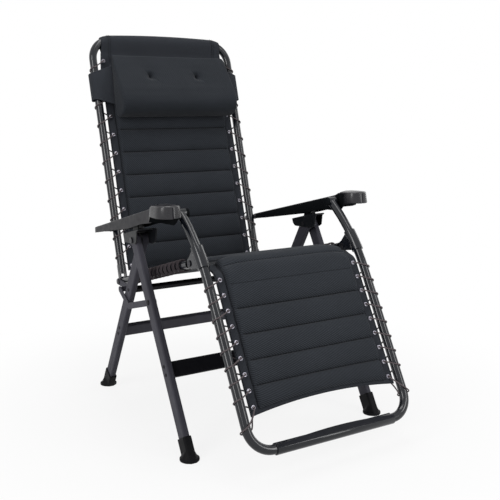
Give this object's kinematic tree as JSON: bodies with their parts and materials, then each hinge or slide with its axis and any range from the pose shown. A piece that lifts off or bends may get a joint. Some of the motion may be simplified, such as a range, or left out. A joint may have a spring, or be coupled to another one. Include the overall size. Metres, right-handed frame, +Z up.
{
  "type": "zero gravity recliner",
  "caption": "Folding reclining lounge chair with laced padded slings on round tube frames, flat tube legs, linked armrests and leg rest, and a sliding head cushion.",
  "frame": {"origin": "on the floor, under the middle of the chair's bounding box", "axes": "+Z up, the sitter faces -Y, +X to the sitter's left"},
  "size_m": [0.694, 1.0609, 1.1494],
  "materials": {
    "cord": "woven elastic cord",
    "sling_cloth": "fine woven cloth",
    "pad_cloth": "padded fine diagonal weave",
    "steel": "zinc plated",
    "black_plastic": "moulded, matte",
    "arm_plastic": "moulded, fine grain",
    "round_tube": "anthracite powder coat",
    "flat_tube": "anthracite powder coat, satin"
  },
  "bodies": {
    "base": {"front_leg_left": "flat_tube", "front_leg_right": "flat_tube", "front_crossbar": "flat_tube", "front_crossbar_screws": "steel", "front_boot_left": "black_plastic", "front_boot_right": "black_plastic", "stay_left": "flat_tube", "stay_right": "flat_tube", "stay_rivets": "steel", "knuckle_left": "black_plastic", "knuckle_right": "black_plastic", "knuckle_pins": "steel", "hip_pins": "steel"},
    "rear_legs": {"rear_leg_left": "flat_tube", "rear_leg_right": "flat_tube", "rear_crossbar": "flat_tube", "rear_upper_bar": "flat_tube", "rear_crossbar_screws": "steel", "rear_boot_left": "black_plastic", "rear_boot_right": "black_plastic"},
    "seat": {"seat_rail_left": "round_tube", "seat_rail_right": "round_tube", "seat_sling": "sling_cloth", "seat_pad": "pad_cloth", "seat_lacing_left": "cord", "seat_lacing_right": "cord", "knee_pins": "steel"},
    "back": {"back_frame": "round_tube", "back_sling": "sling_cloth", "back_pad": "pad_cloth", "back_lacing_left": "cord", "back_lacing_right": "cord", "arm_rear_bolts": "steel"},
    "leg_rest": {"leg_frame": "round_tube", "knee_bracket_left": "round_tube", "knee_bracket_right": "round_tube", "leg_sling": "sling_cloth", "leg_pad": "pad_cloth", "leg_lacing_left": "cord", "leg_lacing_right": "cord", "foot_plate": "black_plastic", "arm_front_knobs": "black_plastic"},
    "armrest_left": {"armrest_left": "arm_plastic", "rack_left": "steel"},
    "armrest_right": {"armrest_right": "arm_plastic", "rack_right": "steel"},
    "head": {"head_cushion": "pad_cloth", "head_band": "sling_cloth"}
  },
  "joints": [
    {"name": "recline", "type": "hinge", "parent": "base", "child": "back", "pos_m": [0, 0.288, 0.366], "axis": [-1, 0, 0], "range_deg": [0, 32]},
    {"name": "seat_tilt", "type": "hinge", "parent": "base", "child": "seat", "pos_m": [0, 0.288, 0.366], "axis": [-1, 0, 0], "range_deg": [0, 7.2]},
    {"name": "leg_lift", "type": "hinge", "parent": "seat", "child": "leg_rest", "pos_m": [0, -0.2118, 0.5131], "axis": [-1, 0, 0], "range_deg": [0, 33.82]},
    {"name": "arm_left_turn", "type": "hinge", "parent": "back", "child": "armrest_left", "pos_m": [0, 0.33628, 0.53004], "axis": [-1, 0, 0], "range_deg": [-27.84, 0]},
    {"name": "arm_right_turn", "type": "hinge", "parent": "back", "child": "armrest_right", "pos_m": [0, 0.33628, 0.53004], "axis": [-1, 0, 0], "range_deg": [-27.84, 0]},
    {"name": "rear_leg_fold", "type": "hinge", "parent": "base", "child": "rear_legs", "pos_m": [0, 0.038, 0.543], "axis": [-1, 0, 0], "range_deg": [0, 45]},
    {"name": "head_slide", "type": "slide", "parent": "back", "child": "head", "axis": [0, 0.2823, 0.9593], "range_m": [-0.2, 0]}
  ],
  "couplings": [
    {"joint": "seat_tilt", "follows": "recline", "ratio": 0.2247},
    {"joint": "leg_lift", "follows": "recline", "ratio": 1.0567},
    {"joint": "arm_left_turn", "follows": "recline", "ratio": -0.8696},
    {"joint": "arm_right_turn", "follows": "recline", "ratio": -0.8696}
  ]
}
